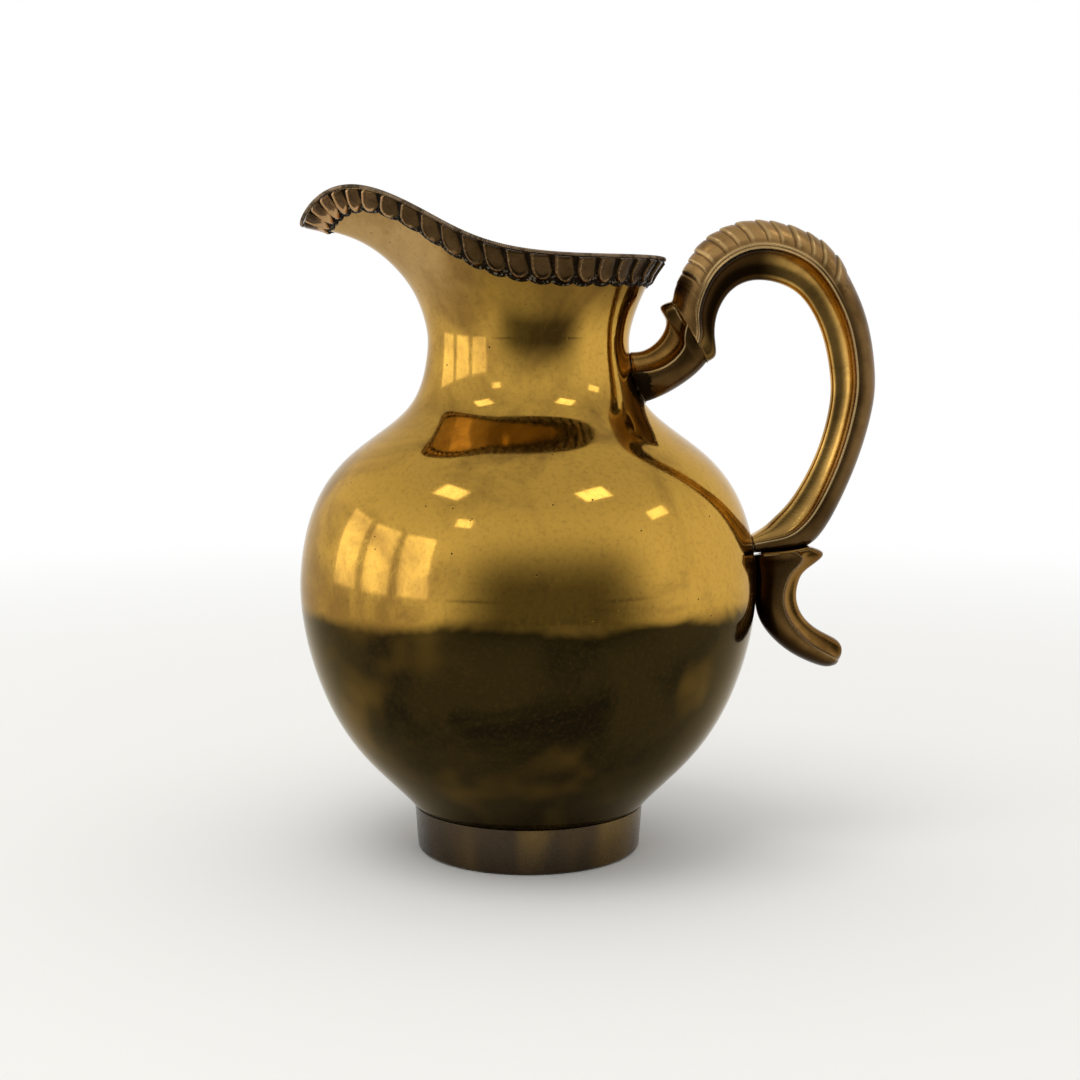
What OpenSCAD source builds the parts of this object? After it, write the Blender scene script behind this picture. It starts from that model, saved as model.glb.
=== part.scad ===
// Brass pitcher: a spun belly on a soldered foot, a raised spout with a cast
// border round the lip, and a scroll handle made of three castings.
// The foot stands on z = 0 and the axis of the belly is the z axis.
// The handle points along +x and the spout along -x.

/* [Foot] */
// Outer radius of the foot ring at its top
foot_r = 39.5; // [34:0.5:46]
// How much narrower the foot ring is where it stands
foot_taper = 1; // [0.4:0.1:2.5]
// Height of the seam where the foot meets the bowl
foot_h = 15; // [11:0.5:22]
// Wall of the foot ring
foot_wall = 2.2; // [1.8:0.1:3]
// Rounding of the edge that the foot stands on
foot_round = 1.6; // [0.6:0.1:1.6]
// Height of the middle of the floor above the table
floor_h = 9; // [6:0.5:10]

/* [Belly] */
// Thickness of the sheet
sheet = 1.2; // [0.8:0.1:1.8]
// Radius of the belly at its widest
belly_r = 77.9; // [66:0.5:90]
// Rise from the foot seam to the widest line
belly_rise = 76; // [62:1:92]
// Radius of the neck at its narrowest
neck_r = 34.2; // [29:0.5:40]
// Rise from the widest line to the narrowest
neck_rise = 82; // [70:1:96]

/* [Mouth and spout] */
// Radius of the mouth at the back
mouth_r = 45; // [41:0.5:50]
// Rise from the neck to the lip at the back
mouth_rise = 27.4; // [24:0.2:32]
// How far the spout's tip stays inside the widest line of the belly
spout_inset = 3.2; // [0:0.2:10]
// Half width of the spout, as an angle about the axis
spout_spread = 33; // [26:1:38]
// How much higher the spout's shoulders are than the back of the lip
spout_rise = 30.5; // [20:0.5:36]
// Half width of that rise, as an angle about the axis
rise_spread = 52.6; // [44:1:60]
// How far the pouring edge dips below the spout's shoulders
spout_dip = 17.9; // [12:0.5:21]
// Half width of the dip, as an angle about the axis
dip_spread = 17.2; // [14:0.5:22]
// How far the flanks of the mouth are drawn in
flank_tuck = 1.9; // [0:0.1:4]
// How far the lip dips at its flanks
flank_dip = 1.4; // [0:0.1:2.5]

/* [Border and rim] */
// Width of the cast border below the lip
border_w = 9.5; // [6:0.5:11]
// Thickness of the border at the edge of a lobe
border_t = 1.1; // [0.8:0.1:1.6]
// Number of lobes on each half of the border
border_lobes = 22; // [14:1:26]
// Diameter of the wire along the lip
rim_d = 2; // [1.4:0.1:2.6]

/* [Handle] */
// How far the handle reaches past the widest line of the belly
handle_reach = 40.1; // [34:0.5:52]
// Half width of the handle across its ridges
handle_half_w = 7.6; // [6:0.2:10]
// Half width of the thin inner edge of the handle
handle_edge = 2.2; // [1.4:0.1:3]
// Height of the lobes on the crown of the arch
lobe_h = 0.7; // [0.3:0.1:1.2]
// Number of lobes on the crown of the arch
crown_lobes = 13; // [9:1:15]

/* [Solder] */
// Gap at a seat that solder fills
seat = 0.34; // [0.28:0.02:0.44]
// Height of the solder bead round a seat
bead_h = 1; // [0.6:0.1:1.4]
// Width of the solder in the corner under the bowl
fillet = 2; // [1.2:0.1:3]

/* [Hidden] */
full_turn = 360;
half_turn = 180;
quarter_turn = 90;
round_sides = 144;
belly_z = foot_h + belly_rise;
neck_z = belly_z + neck_rise;
mouth_z = neck_z + mouth_rise;
// Thin gap between the lip's sheet and what is soldered flat on it
skin_gap = seat / 2;
// The bowl starts just inside the top of the foot ring
base_r = foot_r - 0.4 * foot_wall;
spout_reach = belly_r - spout_inset - mouth_r;

// The floor, from the axis outward: shares of the base radius and of the
// rise from the floor to the foot seam
floor_shares = [[0, 0], [0.5, 0.02], [0.84, 0.38]];
// The bowl, from foot seam to widest line: shares of the growth in radius and of the rise
bowl_shares = [[0, 0], [0.11, 0.06], [0.265, 0.14], [0.505, 0.27], [0.715, 0.435],
               [0.865, 0.62], [0.962, 0.81], [1, 1]];
// The shoulder, from widest line to neck: shares of the belly's extra radius and of the rise
shoulder_shares = [[0.98, 0.14], [0.925, 0.28], [0.81, 0.42], [0.625, 0.54], [0.41, 0.63],
                   [0.205, 0.715], [0.085, 0.8], [0.025, 0.9], [0, 1]];
// The throat, from neck to lip: shares of the growth in radius and of the rise, then
// how much of the spout's reach, rise and dip has come in at that height
throat_shares = [[0.05, 0.2, 0, 0.08, 0.08], [0.21, 0.42, 0.06, 0.25, 0.12],
                 [0.44, 0.64, 0.24, 0.42, 0.18], [0.71, 0.84, 0.55, 0.64, 0.38],
                 [1, 1, 1, 1, 1]];
bowl_start = len(floor_shares);
belly_at = bowl_start + len(bowl_shares) - 1;
neck_at = belly_at + len(shoulder_shares);
lip_at = neck_at + len(throat_shares);

// Smooth curves: a cubic spline that runs evenly through a list of stations
function pulled(p) = [
    for (i = [0:len(p) - 1])
        (i == 0 || i == len(p) - 1) ? p[i] : p[i] + (2 * p[i] - p[i - 1] - p[i + 1]) / 6
];
function guides(p) =
    let (c = pulled(p), last = len(c) - 1)
    concat([2 * c[0] - c[1]], c, [2 * c[last] - c[last - 1]]);
function mix(c, s, w) =
    let (i = min(floor(s), len(c) - 4), k = w(s - i))
    k[0] * c[i] + k[1] * c[i + 1] + k[2] * c[i + 2] + k[3] * c[i + 3];
place_weights = function (f)
    [pow(1 - f, 3) / 6, (3 * pow(f, 3) - 6 * f * f + 4) / 6,
     (-3 * pow(f, 3) + 3 * f * f + 3 * f + 1) / 6, pow(f, 3) / 6];
slope_weights = function (f)
    [-pow(1 - f, 2) / 2, (3 * f * f - 4 * f) / 2, (-3 * f * f + 2 * f + 1) / 2, f * f / 2];
function along(c, s) = mix(c, s, place_weights);
function heading(c, s) = let (d = mix(c, s, slope_weights)) d / norm(d);
function steps(a, b, n) = [for (i = [0:n]) a + (b - a) * i / n];

// Shape of the vessel: one profile for each angle from the spout
function swell(turn, spread) = exp(-pow(turn / spread, 2));
function stations(turn) = concat(
    [for (p = floor_shares) [p[0] * base_r, floor_h + p[1] * (foot_h - floor_h)]],
    [for (p = bowl_shares) [base_r + p[0] * (belly_r - base_r), foot_h + p[1] * belly_rise]],
    [for (p = shoulder_shares) [neck_r + p[0] * (belly_r - neck_r), belly_z + p[1] * neck_rise]],
    [for (p = throat_shares) [
        neck_r + p[0] * (mouth_r - neck_r - flank_tuck * pow(sin(turn), 2))
            + p[2] * spout_reach * swell(turn, spout_spread),
        neck_z + p[1] * (mouth_rise - flank_dip * pow(sin(turn), 2))
            + p[3] * spout_rise * swell(turn, rise_spread)
            - p[4] * spout_dip * swell(turn, dip_spread)
    ]]
);
// A point of that profile, moved out from the sheet's outer face by a depth
function sheet_point(c, s, out) =
    let (d = heading(c, s)) along(c, s) + out * [d[1], -d[0]];
// The same on the inner face; at the seam of the belly both halves end level
function inner_point(c, s) =
    s == belly_at ? along(c, s) - [sheet, 0] : sheet_point(c, s, -sheet);
function turned(p, turn) = [-p[0] * cos(turn), -p[0] * sin(turn), p[1]];
back_guides = guides(stations(half_turn));
back_places = [for (s = steps(bowl_start, lip_at, 130)) along(back_guides, s)];
// Radius of the plain profile at a height, and height of the bowl at a radius
function wall_r(z) = lookup(z, [for (p = back_places) [p[1], p[0]]]);
function bowl_z(r) = lookup(r, [for (s = steps(1, belly_at, 90)) along(back_guides, s)]);

// Skins: faces between neighbouring rings of points
function quad(a, b, c, d) = [[a, b, c], [a, c, d]];
function ring_faces(rings, points, closed) = [
    for (i = [0:rings - (closed ? 1 : 2)], j = [0:points - 1])
        let (a = i * points, b = (i + 1) % rings * points, k = (j + 1) % points)
        each quad(a + j, b + j, b + k, a + k)
];
// A band whose rings each hold outer points and then as many inner points
module band(rings, closed) {
    n = len(rings[0]);
    half = n / 2;
    last = (len(rings) - 1) * n;
    caps = [for (j = [0:half - 2]) each concat(
        quad(j, j + 1, n - 2 - j, n - 1 - j),
        quad(last + n - 1 - j, last + n - 2 - j, last + j + 1, last + j))];
    polyhedron(
        points = [for (r = rings) each r],
        faces = concat(ring_faces(len(rings), n, closed), closed ? [] : caps),
        convexity = 8);
}

// Foot and bowl
module lower_bowl() {
    samples = steps(0, belly_at, 44);
    color("#8f7434")
    rotate_extrude($fn = round_sides)
    polygon(concat(
        [for (s = samples) let (p = sheet_point(back_guides, s, 0)) [max(p[0], 0), p[1]]],
        [for (i = [len(samples) - 1:-1:0])
            let (p = inner_point(back_guides, samples[i])) [i == 0 ? 0 : p[0], p[1]]]));
}

module foot_ring() {
    inner = foot_r - foot_wall;
    low = foot_r - foot_taper;
    corner = [for (a = steps(0, quarter_turn, 4))
        [low - foot_round * (1 - cos(a)), foot_round * (1 - sin(a))]];
    color("#6e5c48")
    rotate_extrude($fn = round_sides)
    polygon(concat(
        [[inner, bowl_z(inner) - skin_gap], [foot_r, bowl_z(foot_r) - skin_gap]],
        corner,
        [[low - foot_wall, 0]]));
}

module foot_solder() {
    inner = foot_r - foot_wall - skin_gap;
    color("#4a453d")
    rotate_extrude($fn = round_sides)
    translate([0, -skin_gap])
    polygon([
        [inner, bowl_z(inner)],
        [inner - fillet, bowl_z(inner - fillet)],
        [inner - fillet / 4, bowl_z(inner) - fillet]]);
}

// Shoulder, neck and spout from one sheet
// Columns stand closer together at the spout than at the back
body_columns = 80;
spout_crowding_share = 0.5;
function column_turn(i) =
    let (a = full_turn * i / body_columns)
    a - half_turn / PI * spout_crowding_share * sin(a);
function short_turn(turn) = abs((turn + half_turn) % full_turn - half_turn);

module upper_body() {
    rows = concat(steps(lip_at, neck_at + 0.5, 11), steps(neck_at, belly_at, 18));
    rings = [for (i = [0:body_columns - 1])
        let (turn = column_turn(i), c = guides(stations(short_turn(turn))), n = len(rows))
        concat(
            [for (s = rows) turned(sheet_point(c, s, 0), turn)],
            [for (k = [n - 1:-1:0]) turned(inner_point(c, rows[k]), turn)])];
    color("#b8923f") band(rings, true);
}

// Places along the lip, evenly spaced by length
lip_samples = 90;
function lip_point(turn) = turned(sheet_point(guides(stations(turn)), lip_at, 0), turn);
lip_places = [for (t = steps(0, half_turn, lip_samples)) lip_point(t)];
lip_lengths = [
    for (i = 0, far = 0; i <= lip_samples;
         i = i + 1, far = far + (i > lip_samples ? 0 : norm(lip_places[i] - lip_places[i - 1])))
    [far, half_turn * i / lip_samples]
];
half_lip = lip_lengths[lip_samples][0];
function turn_at(share) = lookup(share * half_lip, lip_lengths);
// The lobes stand square to the lip, so they lean towards the spout's middle
function lean(turn) =
    let (a = lip_point(turn + 1), b = lip_point(max(turn - 1, 0)),
         ra = norm([a[0], a[1]]), rb = norm([b[0], b[1]]), arc = min(turn + 1, 2) * PI / half_turn)
    turn == 0 || turn >= half_turn - 1 ? 0 : half_turn / PI * sin(atan2(ra - rb, arc * ra)) / ra;

// Border: cast lobes with a raised edge, on the outside of the lip
lobe_columns = 4;
depth_shares = [0, 0.14, 0.5, 0.86, 1];
lobe_height_shares = [0.9, 0.9, 0.65, 1, 0.55];
groove_height_shares = [0.75, 0.45, 0.4, 0.4, 0.35];
scallop_share = 0.17;
// Each half stops just short of the other, as a share of its length
joint_share = 0.001;
// Spline run that goes down from the lip by a depth
function down(c, depth) =
    let (ss = steps(lip_at, lip_at - 3, 24), p = [for (s = ss) along(c, s)])
    lookup(depth, [for (i = 0, far = 0; i < len(ss);
        i = i + 1, far = far + (i < len(ss) ? norm(p[i] - p[i - 1]) : 0)) [far, ss[i]]]);
function border_ring(share) =
    let (turn = turn_at(share), tilt = lean(turn),
         phase = share * border_lobes, frac = phase - floor(phase + 0.001),
         full = sqrt(max(sin(half_turn * frac), 0)),
         w = border_w * (1 - scallop_share * (1 - full)), rows = len(depth_shares))
    [for (k = [0:2 * rows - 1])
        let (i = k < rows ? k : 2 * rows - 1 - k, d = w * depth_shares[i],
             at = max(turn + tilt * d, turn_at(joint_share)), c = guides(stations(at)),
             h = border_t * (groove_height_shares[i]
                 + full * (lobe_height_shares[i] - groove_height_shares[i])))
        turned(sheet_point(c, down(c, d), skin_gap + (k < rows ? h : 0)), at)];
module rim_border_near() {
    count = border_lobes * lobe_columns;
    color("#7a6236")
    band([for (s = steps(joint_share, 1 - joint_share, count)) border_ring(s)], false);
}
module rim_border_far() {
    mirror([0, 1, 0]) rim_border_near();
}

// Wire soldered along the lip, over the sheet and the border
wire_columns = 96;
wire_sides = 8;
module rim_wire() {
    r = rim_d / 2;
    rings = [for (i = [0:wire_columns - 1])
        let (turn = column_turn(i * body_columns / wire_columns),
             c = guides(stations(short_turn(turn))), d = heading(c, lip_at),
             mid = sheet_point(c, lip_at, (border_t - sheet) / 2) + (r + skin_gap) * d)
        [for (k = [0:wire_sides - 1])
            let (a = full_turn * k / wire_sides)
            turned(mid + r * (cos(a) * d + sin(a) * [d[1], -d[0]]), turn)]];
    color("#a58a4c")
    polyhedron(
        points = [for (r = rings) each r],
        faces = ring_faces(wire_columns, wire_sides, true),
        convexity = 8);
}

// Handle castings
// Each station: crown side (reach share, height share), edge side (the same), then the
// ridge's place between them, the width at the ridge and the width of the thin edge.
// A reach share runs from the wall of the vessel to the outside of the handle, and a
// height share from the widest line of the belly to the neck.
joint_crown_shares = [0.132, 1.183];
joint_edge_shares = [0.308, 0.933];
arch_shares = [
    [joint_crown_shares, joint_edge_shares, 0.7, 0.85, 1.6],
    [[0.13, 1.2], [0.35, 0.96], 0.58, 0.86, 1.2],
    [[0.119, 1.253], [0.344, 1.03], 0.54, 0.88, 1],
    [[0.12, 1.334], [0.337, 1.122], 0.53, 0.94, 1],
    [[0.187, 1.424], [0.36, 1.212], 0.54, 1, 1],
    [[0.329, 1.493], [0.421, 1.261], 0.51, 1.02, 1],
    [[0.481, 1.505], [0.507, 1.267], 0.48, 1.02, 1],
    [[0.639, 1.469], [0.6, 1.245], 0.48, 1.02, 1],
    [[0.784, 1.391], [0.683, 1.196], 0.5, 1, 1],
    [[0.896, 1.245], [0.752, 1.106], 0.49, 0.98, 1],
    [[0.967, 1.085], [0.794, 0.999], 0.48, 0.96, 1],
    [[0.998, 0.879], [0.813, 0.859], 0.49, 0.95, 1],
    [[0.985, 0.726], [0.793, 0.734], 0.51, 0.94, 1],
    [[0.899, 0.526], [0.651, 0.547], 0.5, 0.93, 1.05],
    [[0.73, 0.338], [0.403, 0.372], 0.47, 0.92, 1.2],
    [[0.595, 0.233], [0.248, 0.3], 0.48, 0.92, 1.4],
    [[0.452, 0.166], [0.15, 0.258], 0.54, 0.9, 1.6],
    [[0.232, 0.148], [0.08, 0.235], 0.58, 0.86, 1.8],
    [[0, 0.138], [0, 0.212], 0.62, 0.8, 2]
];
bracket_shares = [
    [[0, 0.768], [0, 0.974], 0.6, 1, 1.4],
    [[0.083, 0.792], [0.047, 0.978], 0.57, 0.95, 1.3],
    [[0.169, 0.83], [0.093, 1.003], 0.53, 0.92, 1.3],
    [[0.238, 0.871], [0.127, 1.044], 0.52, 0.9, 1.3],
    [[0.275, 0.9], [0.135, 1.106], 0.51, 0.88, 1.3],
    [[0.292, 0.916], [0.085, 1.157], 0.47, 0.86, 1.4],
    [joint_edge_shares, joint_crown_shares, 0.62, 0.85, 1.6]
];
tail_shares = [
    [[0, 0.127], [0.5, 0.162], 0.64, 0.84, 1.8],
    [[0, 0.1], [0.605, 0.131], 0.66, 0.84, 1.8],
    [[0, 0.068], [0.44, 0.07], 0.68, 0.84, 1.4],
    [[0, 0.022], [0.378, 0.022], 0.66, 0.84, 1.2],
    [[0, -0.05], [0.358, -0.05], 0.62, 0.84, 1.2],
    [[0.05, -0.135], [0.416, -0.122], 0.63, 0.86, 1.3],
    [[0.175, -0.212], [0.536, -0.178], 0.59, 0.88, 1.5],
    [[0.36, -0.284], [0.666, -0.212], 0.53, 0.9, 1.7],
    [[0.558, -0.331], [0.744, -0.237], 0.52, 0.88, 1.8],
    [[0.66, -0.345], [0.772, -0.268], 0.54, 0.7, 1.6],
    [[0.72, -0.34], [0.765, -0.3], 0.58, 0.4, 0.8]
];
outside = belly_r + handle_reach;
function place(share) =
    let (z = belly_z + share[1] * neck_rise, r = wall_r(z) + seat)
    [r + share[0] * (outside - r), z];
function casting_guides(shares) = guides([for (s = shares) let (c = place(s[0]), e = place(s[1]))
    [c[0], c[1], e[0], e[1], s[2], s[3] * handle_half_w, s[4] * handle_edge]]);
edge_share = 0.12;
crown_steps = 3;
cove_steps = 3;
// Half of a section from crown to thin edge: share of the way across, and width
function half_section(g) = concat(
    [for (a = steps(0, quarter_turn, crown_steps)) [g[4] * (1 - cos(a)), g[5] * sin(a)]],
    [for (i = [1:cove_steps]) let (a = quarter_turn * i / cove_steps)
        [g[4] + (1 - edge_share - g[4]) * (1 - cos(a)), g[5] - (g[5] - g[6]) * sin(a)]],
    [[1 - edge_share * (1 - sqrt(0.5)), g[6] * sqrt(0.5)], [1, 0]]);
function in_place(g, u, y) = [g[0] + u * (g[2] - g[0]), y, g[1] + u * (g[3] - g[1])];
// Lobes on the crown, slanted back from its middle to the ridge
lobes_from = 2;
lobes_to = 8.6;
slant_share = 0.75;
function lobe(s, u, y, g) =
    let (n = crown_lobes * (s - lobes_from) / (lobes_to - lobes_from) - slant_share * pow(y / g[5], 2))
    u >= g[4] || n < 0 || n > crown_lobes ? 0 :
        lobe_h * (1 - 0.5 * u / g[4]) * sqrt(abs(sin(half_turn * n))) / norm([g[2] - g[0], g[3] - g[1]]);
function casting_ring(c, s, lobed) =
    let (g = along(c, s), h = half_section(g), n = len(h))
    concat(
        [for (p = h) in_place(g, p[0] - (lobed ? lobe(s, p[0], p[1], g) : 0), p[1])],
        [for (i = [n - 2:-1:1])
            in_place(g, h[i][0] - (lobed ? lobe(s, h[i][0], h[i][1], g) : 0), -h[i][1])]);
// Points inside a section, in lanes, which its end face is built on
lane_shares = [0.5, 0, -0.5];
function inside(c, s) = let (g = along(c, s), h = half_section(g))
    [for (i = [1:len(h) - 2], lane = lane_shares) in_place(g, h[i][0], lane * h[i][1])];
// A point of an end face laid on the wall of the vessel
function seated(p) = [sqrt(pow(wall_r(p[2]) + seat, 2) - p[1] * p[1]), p[1], p[2]];
function flipped(faces) = [for (f = faces) [f[0], f[2], f[1]]];
function end_faces(first, n, mid) =
    let (half = n / 2, lanes = len(lane_shares),
         at = function (i, lane) i % half == 0 ? first + i : lane == 0 ? first + i
             : lane > lanes ? first + n - i : mid + (i - 1) * lanes + lane - 1)
    [for (i = [0:half - 1], lane = [0:lanes],
          f = quad(at(i, lane), at(i + 1, lane), at(i + 1, lane + 1), at(i, lane + 1)))
        if (f[0] != f[1] && f[1] != f[2] && f[0] != f[2]) f];
// A casting runs through the samples; crown_left says that its crown lies to the left on the way
module casting(c, samples, lobed, seat_first, seat_last, crown_left) {
    count = len(samples);
    rings = [for (i = [0:count - 1])
        let (r = casting_ring(c, samples[i], lobed))
        (i == 0 && seat_first) || (i == count - 1 && seat_last) ? [for (p = r) seated(p)] : r];
    n = len(rings[0]);
    start = inside(c, samples[0]);
    finish = inside(c, samples[count - 1]);
    faces = concat(
        ring_faces(count, n, false),
        end_faces(0, n, count * n),
        flipped(end_faces((count - 1) * n, n, count * n + len(start))));
    polyhedron(
        points = concat([for (r = rings) each r],
            seat_first ? [for (p = start) seated(p)] : start,
            seat_last ? [for (p = finish) seated(p)] : finish),
        faces = crown_left ? flipped(faces) : faces,
        convexity = 10);
}
arch_guides = casting_guides(arch_shares);
bracket_guides = casting_guides(bracket_shares);
tail_guides = casting_guides(tail_shares);
lobe_samples = 5;

module handle_arch() {
    last = len(arch_shares) - 1;
    color("#8a6238") casting(arch_guides, concat(
        steps(0, lobes_from, 5),
        [for (s = steps(lobes_from, lobes_to, crown_lobes * lobe_samples)) if (s > lobes_from) s],
        [for (s = steps(lobes_to, last, 26)) if (s > lobes_to) s]), true, false, true, true);
}
module handle_bracket() {
    color("#7c5a36")
    casting(bracket_guides, steps(0, len(bracket_shares) - 1, 18), false, true, false, false);
}
module handle_tail() {
    color("#7a5632")
    casting(tail_guides, steps(0, len(tail_shares) - 1, 28), false, false, false, false);
}

// Solder under and round a seat, on the wall of the vessel
// Each ring: share of the outline, height over the wall
module solder(outline, mid, rings) {
    n = len(outline);
    low = skin_gap;
    lay = function (p, share, h)
        let (y = mid[1] + share * (p[1] - mid[1]), z = mid[2] + share * (p[2] - mid[2]))
        [sqrt(pow(wall_r(z) + h, 2) - y * y), y, z];
    loops = concat(
        [for (r = rings) [for (p = outline) lay(p, r[0], r[1])]],
        [for (i = [len(rings) - 1:-1:0]) [for (p = outline) lay(p, rings[i][0], low)]]);
    total = len(loops) * n;
    polyhedron(
        points = concat([for (l = loops) each l], [lay(mid, 0, rings[0][1]), lay(mid, 0, low)]),
        faces = concat(
            flipped(ring_faces(len(loops), n, false)),
            [for (j = [0:n - 1]) [total, (j + 1) % n, j]],
            [for (j = [0:n - 1]) [total + 1, total - n + j, total - n + (j + 1) % n]]),
        convexity = 6);
}
under = seat - 0.6 * skin_gap;
flat_rings = [[0.25, under], [0.5, under], [0.75, under], [0.98, under]];
bead_shares = [[1.1, 1], [1.17, 0.8], [1.26, 0.2]];
bead_rings = concat(flat_rings, [for (b = bead_shares) [b[0], under + b[1] * (bead_h - under)]]);
edge_rings = concat(flat_rings, [[1.08, under]]);
module seat_bead(c, s, rings) {
    g = along(c, s);
    solder(casting_ring(c, s, false), in_place(g, g[4], 0), rings);
}
module bracket_solder() {
    color("#3f3b34") seat_bead(bracket_guides, 0, bead_rings);
}
module arch_solder() {
    color("#3f3b34") seat_bead(arch_guides, len(arch_shares) - 1, edge_rings);
}
// Where the back of the tail runs along the belly
tail_seat_share = [-0.05, 0.068];
module tail_solder() {
    half_h = (tail_seat_share[1] - tail_seat_share[0]) * neck_rise / 2;
    mid = place([0, (tail_seat_share[0] + tail_seat_share[1]) / 2]);
    strip = [for (k = [0:15]) let (a = full_turn * k / 16)
        [0, handle_edge * sin(a), mid[1] - half_h * cos(a)]];
    color("#3f3b34")
    solder(strip, [0, 0, mid[1]], flat_rings);
}

lower_bowl();
upper_body();
foot_ring();
foot_solder();
rim_wire();
rim_border_near();
rim_border_far();
handle_bracket();
handle_arch();
handle_tail();
bracket_solder();
arch_solder();
tail_solder();
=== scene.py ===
"""Brass pitcher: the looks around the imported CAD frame.

A raised and polished brass vessel with a milled wire and two cast borders on
its lip, a turned foot ring, and a cast scroll handle soldered on. All lengths
are in metres. The foot stands on z = 0, the handle points along +x and the
spout along -x.
"""

import functools
import math

import bmesh
import bpy
import numpy as np
from mathutils import Matrix, Vector, noise


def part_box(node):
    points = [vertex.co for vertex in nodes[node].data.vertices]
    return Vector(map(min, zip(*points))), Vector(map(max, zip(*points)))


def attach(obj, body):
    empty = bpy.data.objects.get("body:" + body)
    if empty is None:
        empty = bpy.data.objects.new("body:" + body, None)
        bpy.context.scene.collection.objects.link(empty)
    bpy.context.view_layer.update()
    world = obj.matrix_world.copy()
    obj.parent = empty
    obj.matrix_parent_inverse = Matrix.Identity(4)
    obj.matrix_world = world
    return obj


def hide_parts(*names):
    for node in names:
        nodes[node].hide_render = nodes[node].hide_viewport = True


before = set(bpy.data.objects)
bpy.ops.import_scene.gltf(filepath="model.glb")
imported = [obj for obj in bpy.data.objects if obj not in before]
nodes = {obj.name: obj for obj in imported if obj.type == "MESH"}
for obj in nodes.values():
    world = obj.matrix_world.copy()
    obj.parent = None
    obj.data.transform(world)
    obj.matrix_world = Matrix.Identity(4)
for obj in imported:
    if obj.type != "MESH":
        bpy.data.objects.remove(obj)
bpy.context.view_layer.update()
MM = 0.001

# Sizes of the vessel, as in the part's source
foot_r = 39.5 * MM
foot_taper = 1 * MM
foot_h = 15 * MM
foot_wall = 2.2 * MM
foot_round = 1.6 * MM
floor_h = 9 * MM
sheet = 1.2 * MM
belly_r = 77.9 * MM
belly_rise = 76 * MM
neck_r = 34.2 * MM
neck_rise = 82 * MM
mouth_r = 45 * MM
mouth_rise = 27.4 * MM
spout_inset = 3.2 * MM
spout_spread = 33
spout_rise = 30.5 * MM
rise_spread = 52.6
spout_dip = 17.9 * MM
dip_spread = 17.2
flank_tuck = 1.9 * MM
flank_dip = 1.4 * MM

# Sizes of the border, the rim and the handle
border_w = 9.5 * MM
border_t = 1.1 * MM
border_lobes = 22
rim_d = 2 * MM
handle_reach = 40.1 * MM
handle_half_w = 7.6 * MM
handle_edge = 2.2 * MM
lobe_h = 0.7 * MM
crown_lobes = 13
seat = 0.34 * MM

skin_gap = seat / 2
belly_z = foot_h + belly_rise
neck_z = belly_z + neck_rise
base_r = foot_r - 0.4 * foot_wall
spout_reach = belly_r - spout_inset - mouth_r
outside = belly_r + handle_reach

# Stations of the profile, as shares of those sizes
floor_shares = [[0, 0], [0.5, 0.02], [0.84, 0.38]]
bowl_shares = [[0, 0], [0.11, 0.06], [0.265, 0.14], [0.505, 0.27], [0.715, 0.435],
               [0.865, 0.62], [0.962, 0.81], [1, 1]]
shoulder_shares = [[0.98, 0.14], [0.925, 0.28], [0.81, 0.42], [0.625, 0.54], [0.41, 0.63],
                   [0.205, 0.715], [0.085, 0.8], [0.025, 0.9], [0, 1]]
throat_shares = [[0.05, 0.2, 0, 0.08, 0.08], [0.21, 0.42, 0.06, 0.25, 0.12],
                 [0.44, 0.64, 0.24, 0.42, 0.18], [0.71, 0.84, 0.55, 0.64, 0.38],
                 [1, 1, 1, 1, 1]]
belly_at = len(floor_shares) + len(bowl_shares) - 1
neck_at = belly_at + len(shoulder_shares)
lip_at = neck_at + len(throat_shares)

# Stations of the handle's castings: crown side, edge side, ridge share, widths
joint_crown_shares = [0.132, 1.183]
joint_edge_shares = [0.308, 0.933]
arch_shares = [
    [joint_crown_shares, joint_edge_shares, 0.7, 0.85, 1.6],
    [[0.13, 1.2], [0.35, 0.96], 0.58, 0.86, 1.2],
    [[0.119, 1.253], [0.344, 1.03], 0.54, 0.88, 1],
    [[0.12, 1.334], [0.337, 1.122], 0.53, 0.94, 1],
    [[0.187, 1.424], [0.36, 1.212], 0.54, 1, 1],
    [[0.329, 1.493], [0.421, 1.261], 0.51, 1.02, 1],
    [[0.481, 1.505], [0.507, 1.267], 0.48, 1.02, 1],
    [[0.639, 1.469], [0.6, 1.245], 0.48, 1.02, 1],
    [[0.784, 1.391], [0.683, 1.196], 0.5, 1, 1],
    [[0.896, 1.245], [0.752, 1.106], 0.49, 0.98, 1],
    [[0.967, 1.085], [0.794, 0.999], 0.48, 0.96, 1],
    [[0.998, 0.879], [0.813, 0.859], 0.49, 0.95, 1],
    [[0.985, 0.726], [0.793, 0.734], 0.51, 0.94, 1],
    [[0.899, 0.526], [0.651, 0.547], 0.5, 0.93, 1.05],
    [[0.73, 0.338], [0.403, 0.372], 0.47, 0.92, 1.2],
    [[0.595, 0.233], [0.248, 0.3], 0.48, 0.92, 1.4],
    [[0.452, 0.166], [0.15, 0.258], 0.54, 0.9, 1.6],
    [[0.232, 0.148], [0.08, 0.235], 0.58, 0.86, 1.8],
    [[0, 0.138], [0, 0.212], 0.62, 0.8, 2],
]
bracket_shares = [
    [[0, 0.768], [0, 0.974], 0.6, 1, 1.4],
    [[0.083, 0.792], [0.047, 0.978], 0.57, 0.95, 1.3],
    [[0.169, 0.83], [0.093, 1.003], 0.53, 0.92, 1.3],
    [[0.238, 0.871], [0.127, 1.044], 0.52, 0.9, 1.3],
    [[0.275, 0.9], [0.135, 1.106], 0.51, 0.88, 1.3],
    [[0.292, 0.916], [0.085, 1.157], 0.47, 0.86, 1.4],
    [joint_edge_shares, joint_crown_shares, 0.62, 0.85, 1.6],
]
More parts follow.
